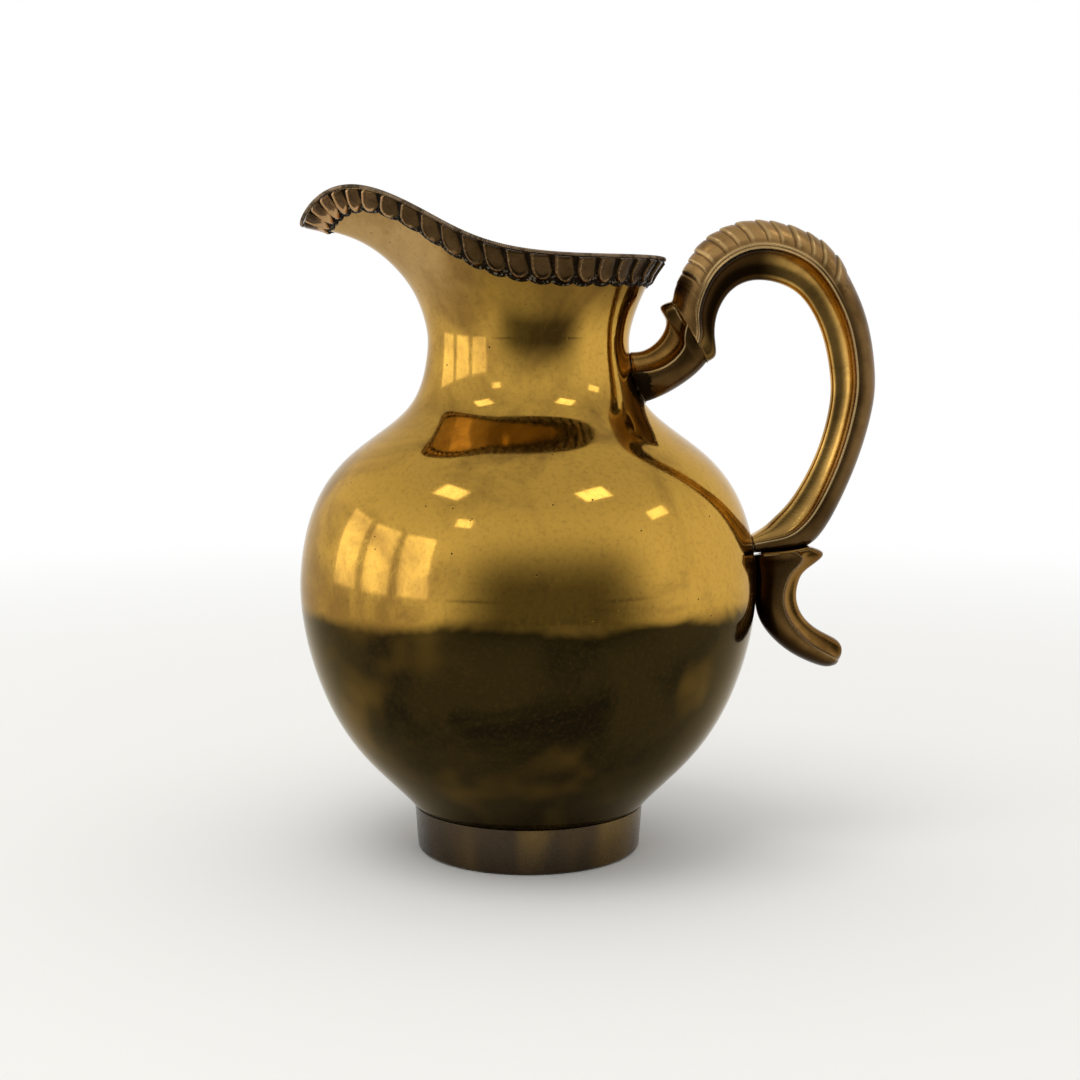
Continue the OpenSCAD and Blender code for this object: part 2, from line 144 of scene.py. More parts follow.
tail_shares = [
    [[0, 0.127], [0.5, 0.162], 0.64, 0.84, 1.8],
    [[0, 0.1], [0.605, 0.131], 0.66, 0.84, 1.8],
    [[0, 0.068], [0.44, 0.07], 0.68, 0.84, 1.4],
    [[0, 0.022], [0.378, 0.022], 0.66, 0.84, 1.2],
    [[0, -0.05], [0.358, -0.05], 0.62, 0.84, 1.2],
    [[0.05, -0.135], [0.416, -0.122], 0.63, 0.86, 1.3],
    [[0.175, -0.212], [0.536, -0.178], 0.59, 0.88, 1.5],
    [[0.36, -0.284], [0.666, -0.212], 0.53, 0.9, 1.7],
    [[0.558, -0.331], [0.744, -0.237], 0.52, 0.88, 1.8],
    [[0.66, -0.345], [0.772, -0.268], 0.54, 0.7, 1.6],
    [[0.72, -0.34], [0.765, -0.3], 0.58, 0.4, 0.8],
]
# Braze between the foot of the arch and the collar of the tail
braze_shares = [
    [[0.06, 0.118], [0.06, 0.146], 0.5, 0.74, 2.4],
    [[0.25, 0.13], [0.25, 0.153], 0.5, 0.78, 2.4],
    [[0.38, 0.14], [0.38, 0.163], 0.5, 0.78, 2.4],
    [[0.46, 0.15], [0.46, 0.17], 0.5, 0.74, 2.2],
]


# Smooth curves: a cubic spline that runs evenly through a list of stations
def guides(points):
    """Control points, with the stations on the second axis from the end."""
    p = np.asarray(points, float)
    c = p.copy()
    before, middle, after = p[..., :-2, :], p[..., 1:-1, :], p[..., 2:, :]
    c[..., 1:-1, :] += (2 * middle - before - after) / 6
    first = 2 * c[..., :1, :] - c[..., 1:2, :]
    last = 2 * c[..., -1:, :] - c[..., -2:-1, :]
    return np.concatenate([first, c, last], axis=-2)


def mixed(c, s, weights):
    """One point for each s, on one spline or on one spline for each s."""
    s = np.asarray(s, float)
    start = np.clip(np.floor(s), 0, c.shape[-2] - 4).astype(int)
    f = s - start
    index = start[:, None] + np.arange(4)
    picked = c[index] if c.ndim == 2 else c[np.arange(len(s))[:, None], index]
    return np.einsum("nk,nkd->nd", weights(f), picked)


def place_weights(f):
    return np.stack([(1 - f) ** 3, 3 * f ** 3 - 6 * f ** 2 + 4,
                     -3 * f ** 3 + 3 * f ** 2 + 3 * f + 1, f ** 3], axis=1) / 6


def slope_weights(f):
    return np.stack([-(1 - f) ** 2, 3 * f ** 2 - 4 * f,
                     -3 * f ** 2 + 2 * f + 1, f ** 2], axis=1) / 2


def along(c, s):
    return mixed(c, s, place_weights)


def heading(c, s):
    d = mixed(c, s, slope_weights)
    return d / np.linalg.norm(d, axis=1, keepdims=True)


def smooth(low, high, value):
    """0 below low, 1 above high, and an even curve between."""
    t = np.clip((value - low) / (high - low), 0, 1)
    return t * t * (3 - 2 * t)


# Shape of the vessel
def swell(turn, spread):
    return np.exp(-(turn / spread) ** 2)


def spread_out(shares, r_from, r_to, z_from, rise):
    """Stations from their shares of a span of radii and of a rise."""
    return [[r_from + r * (r_to - r_from), z_from + z * rise] for r, z in shares]


def stations(turn):
    """Stations of the profile at each angle from the spout, in degrees."""
    turn = np.atleast_1d(np.asarray(turn, float))
    fixed = (spread_out(floor_shares, 0, base_r, floor_h, foot_h - floor_h)
             + spread_out(bowl_shares, base_r, belly_r, foot_h, belly_rise)
             + spread_out(shoulder_shares, neck_r, belly_r, belly_z, neck_rise))
    flank = np.sin(np.radians(turn)) ** 2
    throat = []
    for r_share, z_share, reach, rise, dip in throat_shares:
        r = (neck_r + r_share * (mouth_r - neck_r - flank_tuck * flank)
             + reach * spout_reach * swell(turn, spout_spread))
        z = (neck_z + z_share * (mouth_rise - flank_dip * flank)
             + rise * spout_rise * swell(turn, rise_spread)
             - dip * spout_dip * swell(turn, dip_spread))
        throat.append(np.stack([r, z], axis=1))
    shared = np.broadcast_to(np.array(fixed), (len(turn), len(fixed), 2))
    return np.concatenate([shared, np.stack(throat, axis=1)], axis=1)


def turned(p, turn):
    """Points (r, z) swung to their angle from the spout; the near side is at -y."""
    a = np.radians(turn)
    return np.stack([-p[:, 0] * np.cos(a), -p[:, 0] * np.sin(a), p[:, 1]], axis=1)


def short_turn(turn):
    return np.abs((turn + 180) % 360 - 180)


def surface(turn, s, out):
    """Points on the sheet's outer face, moved out by a depth, for equal lists."""
    c = guides(stations(short_turn(turn)))
    d = heading(c, s)
    lifted = along(c, s) + np.asarray(out)[:, None] * np.stack([d[:, 1], -d[:, 0]], axis=1)
    return turned(lifted, turn)


# The wire shows as a line of about 1.3 mm, so sheet and border run a little past the lip
wire_r = 0.65 * MM
lip_up = 0.75 * MM
# Smooth surfaces lie this much inside the CAD's facets, so that they stay in its box
box_tuck = 0.02 * MM


def past_lip(turn, s):
    """Stretches the throat's rows so that the last one lies a little past the lip."""
    slope = mixed(guides(stations(short_turn(turn))), np.full(len(turn), lip_at), slope_weights)
    stretch = 1 + lip_up / np.linalg.norm(slope, axis=1) / (lip_at - neck_at)
    return np.where(s > neck_at, neck_at + (s - neck_at) * stretch, s)


# The wall opposite the spout, where the handle is seated
back_guides = guides(stations(180)[0])
back_wall = along(back_guides, np.linspace(belly_at - 7, lip_at, 400))


def wall_r(z):
    return np.interp(z, back_wall[:, 1], back_wall[:, 0])


# Making meshes: a grid is laid on a table of places
merge_dist = 0.002 * MM


def placed(name, data):
    """A new object in the scene, made from a lamp, a camera or a bmesh, which is used up."""
    if isinstance(data, bmesh.types.BMesh):
        bm, data = data, bpy.data.meshes.new(name)
        bm.to_mesh(data)
        bm.free()
    thing = bpy.data.objects.new(name, data)
    bpy.context.scene.collection.objects.link(thing)
    return thing


def finish_piece(bm, name, slot_name, replaced, *materials):
    """Turns a bmesh into a smooth object that rides on the part and stands for CAD nodes."""
    piece = placed(name, bm)
    piece.data.shade_smooth()
    for material in materials:
        piece.data.materials.append(material)
    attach(piece, "root")
    if replaced:
        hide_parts(*replaced)
    return piece


def new_grid(columns, rows, half):
    bm = bmesh.new()
    bm.loops.layers.uv.new("flat")
    bmesh.ops.create_grid(bm, x_segments=columns, y_segments=rows, size=half, calc_uvs=True)
    return bm


def laid_grid(table, marks=None, inner_from=None):
    """A grid moved to the places in table[column, row]; marks are named values at each place.
    Rows from inner_from on take the second material."""
    columns, rows = table.shape[0] - 1, table.shape[1] - 1
    bm = new_grid(columns, rows, 0.5)
    layers = {key: bm.verts.layers.float.new(key) for key in (marks or {})}
    seat_of = {}
    for v in bm.verts:
        i = round((v.co.x + 0.5) * columns)
        j = round((v.co.y + 0.5) * rows)
        seat_of[v] = (i, j)
        for key, layer in layers.items():
            v[layer] = float(marks[key][i, j])
    if inner_from is not None:
        for f in bm.faces:
            if min(seat_of[v][1] for v in f.verts) >= inner_from:
                f.material_index = 1
    for v, (i, j) in seat_of.items():
        v.co = table[i, j]
    return bm


def closed_up(bm):
    """Merges the seams of a laid grid, closes its ends and points its faces outwards."""
    bmesh.ops.remove_doubles(bm, verts=bm.verts, dist=merge_dist)
    bmesh.ops.holes_fill(bm, edges=[e for e in bm.edges if e.is_boundary], sides=0)
    bmesh.ops.recalc_face_normals(bm, faces=bm.faces)
    return bm


# Vessel: one even sheet, from the floor's middle to the lip and back down the inside.
# The seam between bowl and upper body is polished away, so one skin stands for both.
vessel_columns = 300
spout_crowding = 0.5
outer_rows = [(0, 3, 10), (3, belly_at, 46), (belly_at, neck_at, 58), (neck_at, lip_at, 44)]
inner_rows = [(lip_at, neck_at, 34), (neck_at, belly_at, 26), (belly_at, 3, 20), (3, 0, 8)]


def column_turns(count):
    """Angles of the columns, which stand closer together at the spout."""
    a = np.linspace(0, 360, count + 1)
    return a - 180 / math.pi * spout_crowding * np.sin(np.radians(a))


def joined_rows(runs):
    """Places along the profile through several runs, with no place twice."""
    rows = [np.linspace(start, end, count + 1) for start, end, count in runs]
    return np.concatenate([rows[0]] + [r[1:] for r in rows[1:]])


def make_vessel(brass, inside):
    turns = column_turns(vessel_columns)
    out, back = joined_rows(outer_rows), joined_rows(inner_rows)
    run = np.concatenate([out, back])
    depth = np.concatenate([np.full(len(out), -box_tuck), np.full(len(back), -sheet)])
    turn = np.repeat(turns, len(run))
    places = surface(turn, past_lip(turn, np.tile(run, len(turns))), np.tile(depth, len(turns)))
    table = places.reshape(len(turns), len(run), 3)
    table[:, [0, -1], :2] = 0
    bm = laid_grid(table, inner_from=len(out))
    bmesh.ops.remove_doubles(bm, verts=bm.verts, dist=merge_dist)
    bmesh.ops.recalc_face_normals(bm, faces=bm.faces)
    return finish_piece(bm, "vessel_sheet", "polished_brass", ["lower_bowl", "upper_body"],
                        brass, inside)


# Foot ring: a turned band with a rounded lower edge
foot_steps = 256
crease_angle = 0.9
foot_bevel = 0.25 * MM


def bowl_line():
    """Radii and heights along the underside of the bowl."""
    line = along(back_guides, np.linspace(1, belly_at, 200))
    return line[:, 0], line[:, 1]


def make_foot(material):
    low = foot_r - foot_taper
    inner = foot_r - foot_wall
    bm = bmesh.new()
    top_out = float(np.interp(foot_r, *bowl_line())) - skin_gap
    top_in = float(np.interp(inner, *bowl_line())) - skin_gap
    outline = [(inner, top_in), (foot_r, top_out)]
    outline += [(low - foot_round * (1 - math.cos(a)), foot_round * (1 - math.sin(a)))
                for a in np.linspace(0, math.pi / 2, 9)]
    outline += [(low - foot_wall, 0)]
    ring = [bm.verts.new((r, 0, z)) for r, z in outline]
    edges = [bm.edges.new((ring[k], ring[(k + 1) % len(ring)])) for k in range(len(ring))]
    bmesh.ops.spin(bm, geom=ring + edges, axis=(0, 0, 1), cent=(0, 0, 0),
                   angle=2 * math.pi, steps=foot_steps, use_merge=True)
    bmesh.ops.remove_doubles(bm, verts=bm.verts, dist=merge_dist)
    sharp = [e for e in bm.edges
             if len(e.link_faces) == 2 and e.calc_face_angle() > crease_angle]
    bmesh.ops.bevel(bm, geom=sharp, offset=foot_bevel, segments=3, affect="EDGES",
                    profile=0.5, material=-1)
    bmesh.ops.recalc_face_normals(bm, faces=bm.faces)
    return finish_piece(bm, "foot_band", "tarnished_foot", ["foot_ring"], material)


# Places along the lip, evenly spaced by length
lip_turns = np.linspace(0, 180, 721)
lip_line = surface(lip_turns, np.full(721, lip_at), np.zeros(721))
lip_run = np.concatenate([[0], np.cumsum(np.linalg.norm(np.diff(lip_line, axis=0), axis=1))])
half_lip = lip_run[-1]


def turn_at(share):
    return np.interp(share * half_lip, lip_run, lip_turns)


def lean(turn):
    """How much a line square to the lip turns for each metre down, in degrees."""
    ahead = np.interp(turn + 1, lip_turns, np.linalg.norm(lip_line[:, :2], axis=1))
    behind = np.interp(turn - 1, lip_turns, np.linalg.norm(lip_line[:, :2], axis=1))
    arc = np.radians(2) * ahead
    tilt = np.degrees(np.sin(np.arctan2(ahead - behind, arc)) / ahead)
    return tilt * smooth(0, 2, turn) * smooth(180, 178, turn)


def below_lip(turn, depth):
    """Spline places at depths below the lip, for equal lists; a depth below 0 is above it."""
    c = guides(stations(turn))
    over = 3
    steps = lip_at - 0.1 * np.arange(-over, 31)
    count = len(turn)
    flat = np.repeat(np.arange(count), len(steps))
    line = along(c[flat], np.tile(steps, count)).reshape(count, len(steps), 2)
    run = np.cumsum(np.linalg.norm(np.diff(line, axis=1), axis=2), axis=1)
    run = np.concatenate([np.zeros((count, 1)), run], axis=1)
    run -= run[:, over:over + 1]
    return np.array([np.interp(d, r, steps) for d, r in zip(depth, run)])


def quirk(index, kind):
    """A small steady irregularity from -1 to 1 for one lobe, as hand work leaves."""
    return 2 * noise.noise(Vector((0.37 + 1.7 * index, 3.1 * kind, 0.5)))


# Border: cast tongues, each with a curled edge towards the spout, over a stippled dark fringe.
# One more than in the part's source fits in each half, because the tongues are narrower a
# little way behind the tip of the spout.
tip_lobes = 1
crowded_shares = (0.04, 0.26)
tongues = border_lobes + tip_lobes
border_samples = 30
front_rows = 42
back_rows = 4
scallop_share = 0.14
joint_share = 0.001
tongue_half_share = 0.47
tongue_straight_share = 0.36
tongue_end_share = 0.87
tongue_lean = 0.06
uneven_place = 0.15 * MM
uneven_length = 0.35 * MM
curl_inset = 0.8 * MM
curl_half = 0.5 * MM
groove_w = 0.5 * MM
stipple_pitch = 0.85 * MM
tip_thinning_share = 0.03


def lobe_phase(share):
    """Which tongue a share of the lip falls on, counted from the tip of the spout."""
    return border_lobes * share + tip_lobes * smooth(*crowded_shares, share)


def border_relief(share, q, width):
    """Height of the border over its back, and its marks for equal lists: dark grooves with painted
    shade, painted highlights, grit, and a darker tone further back. q runs from the wire to the
    border's scalloped lower edge."""
    phase = lobe_phase(share)
    step = 1e-4
    pitch = half_lip * step / (lobe_phase(share + step) - phase)
    index = np.clip(np.floor(phase), 0, tongues - 1).astype(int)
    shift = np.array([uneven_place * quirk(k, 1) for k in range(tongues)])[index]
    longer = np.array([uneven_length * quirk(k, 2) for k in range(tongues)])[index]
    y = -lip_up + q * (width + lip_up)
    x = (phase - index - 0.5) * pitch + shift - tongue_lean * y
    half = tongue_half_share * pitch
    across = x / half
    down = y / border_w
    # How far a place lies inside the outline of its tongue: straight sides and a round end
    straight = tongue_straight_share * border_w
    end = tongue_end_share * border_w + longer
    inset = half * (1 - np.hypot(across, np.maximum(y - straight, 0) / (end - straight)))
    rise = smooth(-0.2 * MM, 0.3 * MM, inset)
    crown = rise * np.clip(1 - across ** 2, 0, 1)
    # The curl follows the side towards the spout and the lower end
    tipward = smooth(0.4, -0.6, across)
    low_curl = smooth(0.3, 0.75, down) * smooth(1, 0.2, across)
    curl = np.exp(-((inset - curl_inset) / curl_half) ** 2) * np.maximum(tipward, low_curl)
    # Painted shade in the hollow of each tongue; the valley beside it also holds a painted shadow
    # of the next tongue
    hollow = smooth(0.6 * MM, 1.6 * MM, inset) * smooth(0.85, 0.3, down)
    valley = smooth(0.3 + 0.75 * down, 0.75 + 0.6 * down, across) * smooth(0.7, 0.4, down)
    # Near the tip the low half of each tongue carries a painted highlight, as the curl does all
    # along, and the top on its side towards the spout carries painted shade. Further back it all
    # grows darker and duller.
    near = smooth(0.22, 0.1, share)
    old = smooth(0.12, 0.4, share)
    rubbed = 1.3 * curl + near * rise * smooth(0.25, 0.7, down + 0.15 * tipward)
    painted_top_shade = 0.6 * near * smooth(0.6, 0.15, down) * smooth(-0.8, 0.1, across)
    # Stippled fringe between the tongues' ends
    stipple = (0.5 + 0.5 * np.cos(2 * math.pi * share * half_lip / stipple_pitch)) \
        * (0.5 + 0.5 * np.cos(2 * math.pi * (y - width) / stipple_pitch))
    fringe = (1 - rise) * smooth(0.45, 0.7, down)
    height = border_t * (0.26 + 0.22 * rise + 0.22 * crown + 0.36 * curl - 0.2 * rise * across
                         - 0.36 * valley * rise * (1 - 0.5 * old)
                         + 0.15 * fringe * stipple)
    groove = 1 - smooth(0, groove_w, inset)
    # Dark grooves round the tongues, with painted shade in the valleys, the hollows and the tops
    # near the tip
    black = np.maximum.reduce([groove, valley, 0.5 * hollow, painted_top_shade])
    # The border thins out at its two edges and at the joint on the tip
    thin = 0.45 + 0.55 * smooth(0, 0.35 * MM, np.minimum(y + lip_up, width - y))
    tip = 0.4 + 0.6 * smooth(0, tip_thinning_share, share)
    return height * thin * tip, {
        "black": np.clip(black, 0, 1) * (1 - 0.3 * old),
        "rubbed": np.clip(rubbed, 0, 1) * (1 - 0.6 * old) * (1 - groove),
        "grit": fringe, "old": old}


def make_border(side, name, material, node):
    fine = np.linspace(joint_share, 1 - joint_share, 2000)
    phase = np.linspace(lobe_phase(fine[0]), lobe_phase(fine[-1]), tongues * border_samples + 1)
    shares = np.interp(phase, lobe_phase(fine), fine)
    full = np.sqrt(np.clip(np.sin(math.pi * (phase - np.floor(phase + 1e-9))), 0, 1))
    tip = 1 - 0.2 * np.exp(-(shares / tip_thinning_share) ** 2)
    widths = border_w * (1 - scallop_share * (1 - full)) * tip
    q = np.concatenate([np.linspace(0, 1, front_rows), np.linspace(1, 0, back_rows)])
    front = np.concatenate([np.ones(front_rows), np.zeros(back_rows)])
    share = np.repeat(shares, len(q))
    width = np.repeat(widths, len(q))
    q_all = np.tile(q, len(shares))
    depth = -lip_up + q_all * (width + lip_up)
    turn = turn_at(share)
    at = np.clip(turn + lean(turn) * depth, turn_at(joint_share), turn_at(1 - joint_share))
    height, relief_marks = border_relief(share, q_all, width)
    places = surface(at, below_lip(at, depth), skin_gap + height * np.tile(front, len(shares)))
    places[:, 1] *= side
    size = (len(shares), len(q))
    table = places.reshape(*size, 3)
    table = np.concatenate([table, table[:, :1]], axis=1)
    marks = {}
    for key, value in relief_marks.items():
        value = value.reshape(size)
        marks[key] = np.concatenate([value, value[:, :1]], axis=1)
    bm = closed_up(laid_grid(table, marks=marks))
    return finish_piece(bm, name, "border_casting", [node], material)


# Wire along the lip, with fine slanted milling across it
rim_beads = 460
bead_samples = 5
bead_share = 0.1
bead_slant = 1.2
wire_sides = 12


def make_wire(material):
    shares = np.linspace(0, 2, rim_beads * bead_samples + 1)
    turns = np.where(shares <= 1, turn_at(np.minimum(shares, 1)),
                     360 - turn_at(2 - np.maximum(shares, 1)))
    c = guides(stations(short_turn(turns)))
    s = np.full(len(turns), lip_at)
    d = heading(c, s)
    n = np.stack([d[:, 1], -d[:, 0]], axis=1)
    middle = along(c, s) + (border_t - sheet) / 2 * n + (rim_d + skin_gap - wire_r) * d
    rings = []
    for a in np.linspace(0, 2 * math.pi, wire_sides + 1):
        milling = np.cos(2 * math.pi * rim_beads * shares / 2 + bead_slant * math.sin(a))
        radius = wire_r * (1 - bead_share + bead_share * milling)
        p = middle + radius[:, None] * (math.cos(a) * d + math.sin(a) * n)
        rings.append(turned(p, turns))
    bm = closed_up(laid_grid(np.stack(rings, axis=1)))
    return finish_piece(bm, "rim_wire_milled", "rim_wire", ["rim_wire"], material)


# Handle castings
edge_share = 0.12
lobes_from = 2
lobes_to = 8.6
slant_share = 0.75
line_h = 0.3 * MM
line_half = 0.28 * MM
line_places = (0.3 * MM, 1.5 * MM)
horn_rim_from = 0.16
# Painted highlights along the ridge (strength and width), on the lips of the lobes and on the
# horn's rim
ridge_highlight = 0.45
ridge_highlight_w = 0.5 * MM
lip_highlight = 0.7
rim_highlight = 0.7
# Knots, as their place, spread and height along a casting
no_knot = (0, 1, 0)
arch_knot = (0, 0.1, 0.4 * MM)
knot_grain = 1.3 * MM
knot_grain_h = 0.18 * MM
# Rows of the half section: on the crown far from the ridge and close to it, on the cove, and
# round the thin edge
crown_rows = 14
ridge_rows = 24
cove_rows = 18
edge_rows = 4


def place(share):
    z = belly_z + share[1] * neck_rise
    r = float(wall_r(z)) + seat
    return [r + share[0] * (outside - r), z]


def casting_guides(shares):
    rows = []
    for crown, edge, ridge, width, thin in shares:
        rows.append(place(crown) + place(edge)
                    + [ridge, width * handle_half_w, thin * handle_edge])
    return guides(rows)


def half_section():
    """The walk from crown to thin edge: the part that a row belongs to, and how far along it.
    Rows stand close together at the ridge, where the thin raised lines run."""
    wide = np.cos(np.radians(np.linspace(0, 70, crown_rows)))
    close = np.linspace(wide[-1], 0, ridge_rows)[1:]
    crown = [(0, 1 - c) for c in np.concatenate([wide, close])]
    cove = [(1, t) for t in np.linspace(0, 1, cove_rows)[1:]]
    edge = [(2, t) for t in np.linspace(0, 1, edge_rows)[1:]]
    return crown + cove + edge


def raised_lines(d, count, samples):
    """Thin raised lines beside the ridge, d from it on the crown's side. A second one fades out
    down the arm."""
    fades = (np.ones(len(samples)), smooth(9.5, 7, samples))
    return sum(np.exp(-((d - at) / line_half) ** 2) * fade
               for at, fade in list(zip(line_places, fades))[:count])


def crown_lobe(s, g, d, y):
    """Rise of the slanted lobes on the crown of the arch, how deep in a slot a place is, and
    how near to a lobe's lip. Each lobe rises steeply from its slot and falls evenly to the next."""
    n = crown_lobes * (s - lobes_from) / (lobes_to - lobes_from) - slant_share * (y / g[:, 5]) ** 2
    n = n + 0.1 * np.sin(2.3 * n + 1)
    part = n - np.floor(n)
    inside = (n > 0) & (n < crown_lobes)
    rise = smooth(0, 0.17, part) * smooth(1, 0.92, part) * (1 - 0.45 * smooth(0.25, 0.95, part))
    slot = np.maximum(1 - smooth(0, 0.1, part), smooth(0.9, 0.98, part))
    lip = np.exp(-((part - 0.19) / 0.06) ** 2)
    fade = smooth(1.7 * MM, 3.2 * MM, d) * inside * (0.3 + 0.7 * smooth(0, 2, n))
    return lobe_h * rise * fade, slot * fade, lip * fade


def knot_rise(samples, knot):
    """Outward swelling along a casting at its knot."""
    at, spread, height = knot
    return height * np.exp(-((samples - at) / spread) ** 2)


def bare(samples, part, t):
    """No mark anywhere on a casting."""
    return np.zeros(len(samples))


def arch_darkening(samples, part, t):
    """Painted shade in the cove round the top of the loop, and a darker crown on the lower arm."""
    if part == 0:
        return 0.6 * smooth(7.2, 9.5, samples) + 0.25 * smooth(12, 14.5, samples)
    cove = smooth(0, 0.12, t) if part == 1 else 1.0
    return cove * (0.75 + 0.25 * smooth(0.2, 2, samples)) * smooth(7.4, 5.6, samples)


def bracket_soot(samples, part, t):
    """Soot of the torch on the underside, near the neck."""
    return smooth(1.5, 0.1, samples) * (part == 0)


def bracket_darkening(samples, part, t):
    """Painted shade on the outside, which is its underside, and in the hollow of the horn; a little
    darkening over the rest of the cove.
    """
    if part == 0:
        return np.full(len(samples), 0.75 * float(smooth(1, 0.5, t)))
    return (0.1 + 0.6 * smooth(3.5, 5.2, samples)) * float(smooth(0, 0.2, t)) * (part == 1)


def tail_darkening(samples, part, t):
    """Some darker tone all over the tail, its cove too, and painted shade on its back."""
    return np.full(len(samples), 0.3 + 0.65 * float(smooth(0.95, 0.4, t)) * (part == 0))


def casting_table(c, samples, lobed, lines, knot, soot, tarnish, horn_rim):
    """Places and marks of a casting, ring by ring. A ring walks from the crown over the ridge
    and the cove to the thin edge on one side, and back on the other."""
    g = along(c, samples)
    ridge, width, thin = g[:, 4], g[:, 5], g[:, 6]
    reach = np.hypot(g[:, 2] - g[:, 0], g[:, 3] - g[:, 1])
    grow = knot_rise(samples, knot)
    half = half_section()
    walk = [(1, part, t) for part, t in half] + [(-1, part, t) for part, t in half[-2::-1]]
    rings = []
    marks = {key: [] for key in ("cove", "groove", "rubbed", "soot", "tarnish")}
    # The rim of the horn stands up along the last ring
    rim_from = samples[-1] - horn_rim_from
    rim = horn_rim * smooth(rim_from, samples[-1], samples)
    zero = np.zeros(len(samples))
    for side, part, t in walk:
        groove = highlight_mark = zero
        if part == 0:
            d = (1 - t) * ridge * reach
            level = math.sqrt(1 - (1 - t) ** 2)
            line = zero + raised_lines(d, lines, samples)
            y = width * level + line_h * line + grow * level
            u = ridge * t - (grow - box_tuck) * (1 - t) / reach
            # Painted highlights on the raised lines and along the ridge
            highlight_mark = np.maximum(line, ridge_highlight * np.exp(-(d / ridge_highlight_w) ** 2))
            if lobed:
                rise, slot, lip = crown_lobe(samples, g, d, y)
                u = u - rise / reach
                # Painted shade in the slots, and a painted highlight on the lip of each lobe
                groove = 0.8 * slot
                highlight_mark = np.maximum(highlight_mark, lip_highlight * lip)
        elif part == 1:
            a = t * math.pi / 2
            line = math.exp(-((line_places[0] / line_half + 9 * t)) ** 2) * (lines > 0)
            u = ridge + (1 - edge_share - ridge) * (1 - math.cos(a))
            hollow = (width - thin) * math.sin(a)
            y = width - hollow * (1 - rim * (1 - t ** 3)) + line_h * line + grow
            # Painted highlights on the raised line, along the ridge and on the horn's rim; painted
            # shade beside the line
            highlight_mark = zero + line + ridge_highlight * math.exp(-(t / 0.05) ** 2)
            if horn_rim:
                highlight_mark = highlight_mark + rim_highlight * np.exp(-((samples - rim_from) / 0.05) ** 2)
            groove = zero + 0.3 * math.exp(-((t - 0.1) / 0.1) ** 2) * (lines > 0)
        else:
            a = t * math.pi / 2
            u = 1 - edge_share * (1 - math.sin(a)) + grow * math.sin(a) / reach
            y = (thin + grow) * math.cos(a)
        x = g[:, 0] + u * (g[:, 2] - g[:, 0])
        z = g[:, 1] + u * (g[:, 3] - g[:, 1])
        rings.append(np.stack([x, side * y, z], axis=1))
        marks["cove"].append(zero + (float(smooth(0, 0.5, t)) if part == 1 else part == 2))
        marks["groove"].append(groove)
        marks["rubbed"].append(np.clip(highlight_mark, 0, 1))
        marks["soot"].append(zero + soot(samples, part, t))
        marks["tarnish"].append(zero + tarnish(samples, part, t))
    return np.stack(rings, axis=1), {key: np.stack(rows, axis=1) for key, rows in marks.items()}


def seated(ring):
    """A ring laid on the wall of the vessel."""
    r = wall_r(ring[:, 2]) + seat
    return np.stack([np.sqrt(r ** 2 - ring[:, 1] ** 2), ring[:, 1], ring[:, 2]], axis=1)


def make_casting(name, nodes_replaced, shares, samples, material, lobed=False, first=False,
                 last=False, lines=0, knot=no_knot, soot=bare, tarnish=bare, horn_rim=0):
    """One casting. samples are the places of its rings along the stations, or how many there
    are if they are even. first and last say which of its ends is seated on the vessel's wall."""
    if isinstance(samples, int):
        samples = np.linspace(0, len(shares) - 1, samples)
    table, marks = casting_table(casting_guides(shares), samples, lobed, lines, knot, soot,
                                 tarnish, horn_rim)
    for k, on_wall in ((0, first), (-1, last)):
        if on_wall:
            table[k] = seated(table[k])
    # Grains of metal stand on the knot
    for i in np.nonzero(knot_rise(samples, knot) > 0.05 * MM)[0]:
        for j in range(table.shape[1]):
            lump = noise.noise(Vector(table[i, j] / knot_grain))
            table[i, j, 1] *= 1 + 0.05 * lump
            table[i, j, 0] += knot_grain_h * lump
    bm = closed_up(laid_grid(table, marks=marks))
    return finish_piece(bm, name, "handle_casting", nodes_replaced, material)


# Solder: a lumpy copy of the CAD bead
lump_size = 1.6 * MM
lump_h = 0.3 * MM


def make_solder(node, name, material, draw_in):
    """draw_in is the share by which the copy shrinks about its middle, across and up and down."""
    bm = bmesh.new()
    bm.from_mesh(nodes[node].data)
    bmesh.ops.remove_doubles(bm, verts=bm.verts, dist=0.01 * MM)
    bmesh.ops.subdivide_edges(bm, edges=bm.edges, cuts=2, use_grid_fill=True)
    bmesh.ops.smooth_vert(bm, verts=bm.verts, factor=0.5, use_axis_x=True, use_axis_y=True,
                          use_axis_z=True)
    bm.normal_update()
    low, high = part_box(node)
    middle = (Vector(low) + Vector(high)) / 2
    for v in bm.verts:
        v.co += v.normal * lump_h * noise.noise(v.co / lump_size)
        out = math.hypot(v.co.x, v.co.y) - float(wall_r(v.co.z))
        y = v.co.y - draw_in * (v.co.y - middle.y)
        z = v.co.z - draw_in * (v.co.z - middle.z)
        v.co = (math.sqrt((float(wall_r(z)) + out) ** 2 - y ** 2), y, z)
    return finish_piece(bm, name, "dark_solder", [node], material)


# Colours and nodes
# Heights on the belly at which the painted dark reflection, an olive tone, is full and gone
reflection_full = 84.5 * MM
reflection_none = 90.5 * MM
# Darker brown under the border, on the neck but not on the spout
neck_darker_z = (172 * MM, 198 * MM)
neck_darker_x = (-36 * MM, -12 * MM)
# Tarnish keeps the grazing reflections of the brass from going white
edge_tint = "#ece2d0"
# Settings that many nodes share
soft = {"interpolation_type": "SMOOTHSTEP"}
colours = {"data_type": "RGBA"}
plus = {"operation": "ADD"}
minus = {"operation": "SUBTRACT"}
times = {"operation": "MULTIPLY"}
times_plus = {"operation": "MULTIPLY_ADD"}


def linear(hex_colour):
    """An sRGB hex colour as linear red, green, blue, alpha."""
    out = []
    for k in (1, 3, 5):
        v = int(hex_colour[k:k + 2], 16) / 255
        out.append(v / 12.92 if v <= 0.04045 else ((v + 0.055) / 1.055) ** 2.4)
    return (*out, 1.0)


